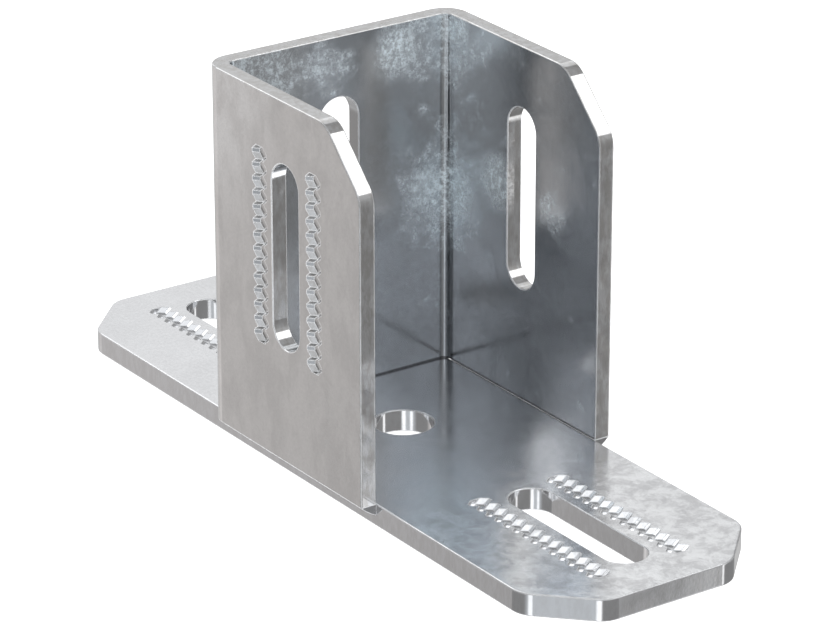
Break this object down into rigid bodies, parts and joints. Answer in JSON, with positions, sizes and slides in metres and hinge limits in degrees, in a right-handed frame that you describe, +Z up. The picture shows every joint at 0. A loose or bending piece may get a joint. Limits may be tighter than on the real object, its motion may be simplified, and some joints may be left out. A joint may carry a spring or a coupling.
{
  "type": "saddle bracket",
  "caption": "Welded steel saddle bracket: a folded U channel for a square post across a slotted base plate, with rows of pressed teeth beside each slot.",
  "frame": {"origin": "middle of the base plate's underside, on the axis of the centre bore", "axes": "+X along the plate, towards the saddle's open side; +Y across the plate; +Z up"},
  "size_m": [0.3, 0.102, 0.137],
  "materials": {
    "plate_zinc": "hot-dip galvanised, smooth and faintly mottled",
    "saddle_zinc": "hot-dip galvanised, smooth and faintly mottled",
    "weld_zinc": "galvanised weld bead"
  },
  "bodies": {
    "root": {"base_plate": "plate_zinc", "saddle": "saddle_zinc", "weld_left": "weld_zinc", "weld_right": "weld_zinc", "weld_back": "weld_zinc"}
  },
  "joints": []
}
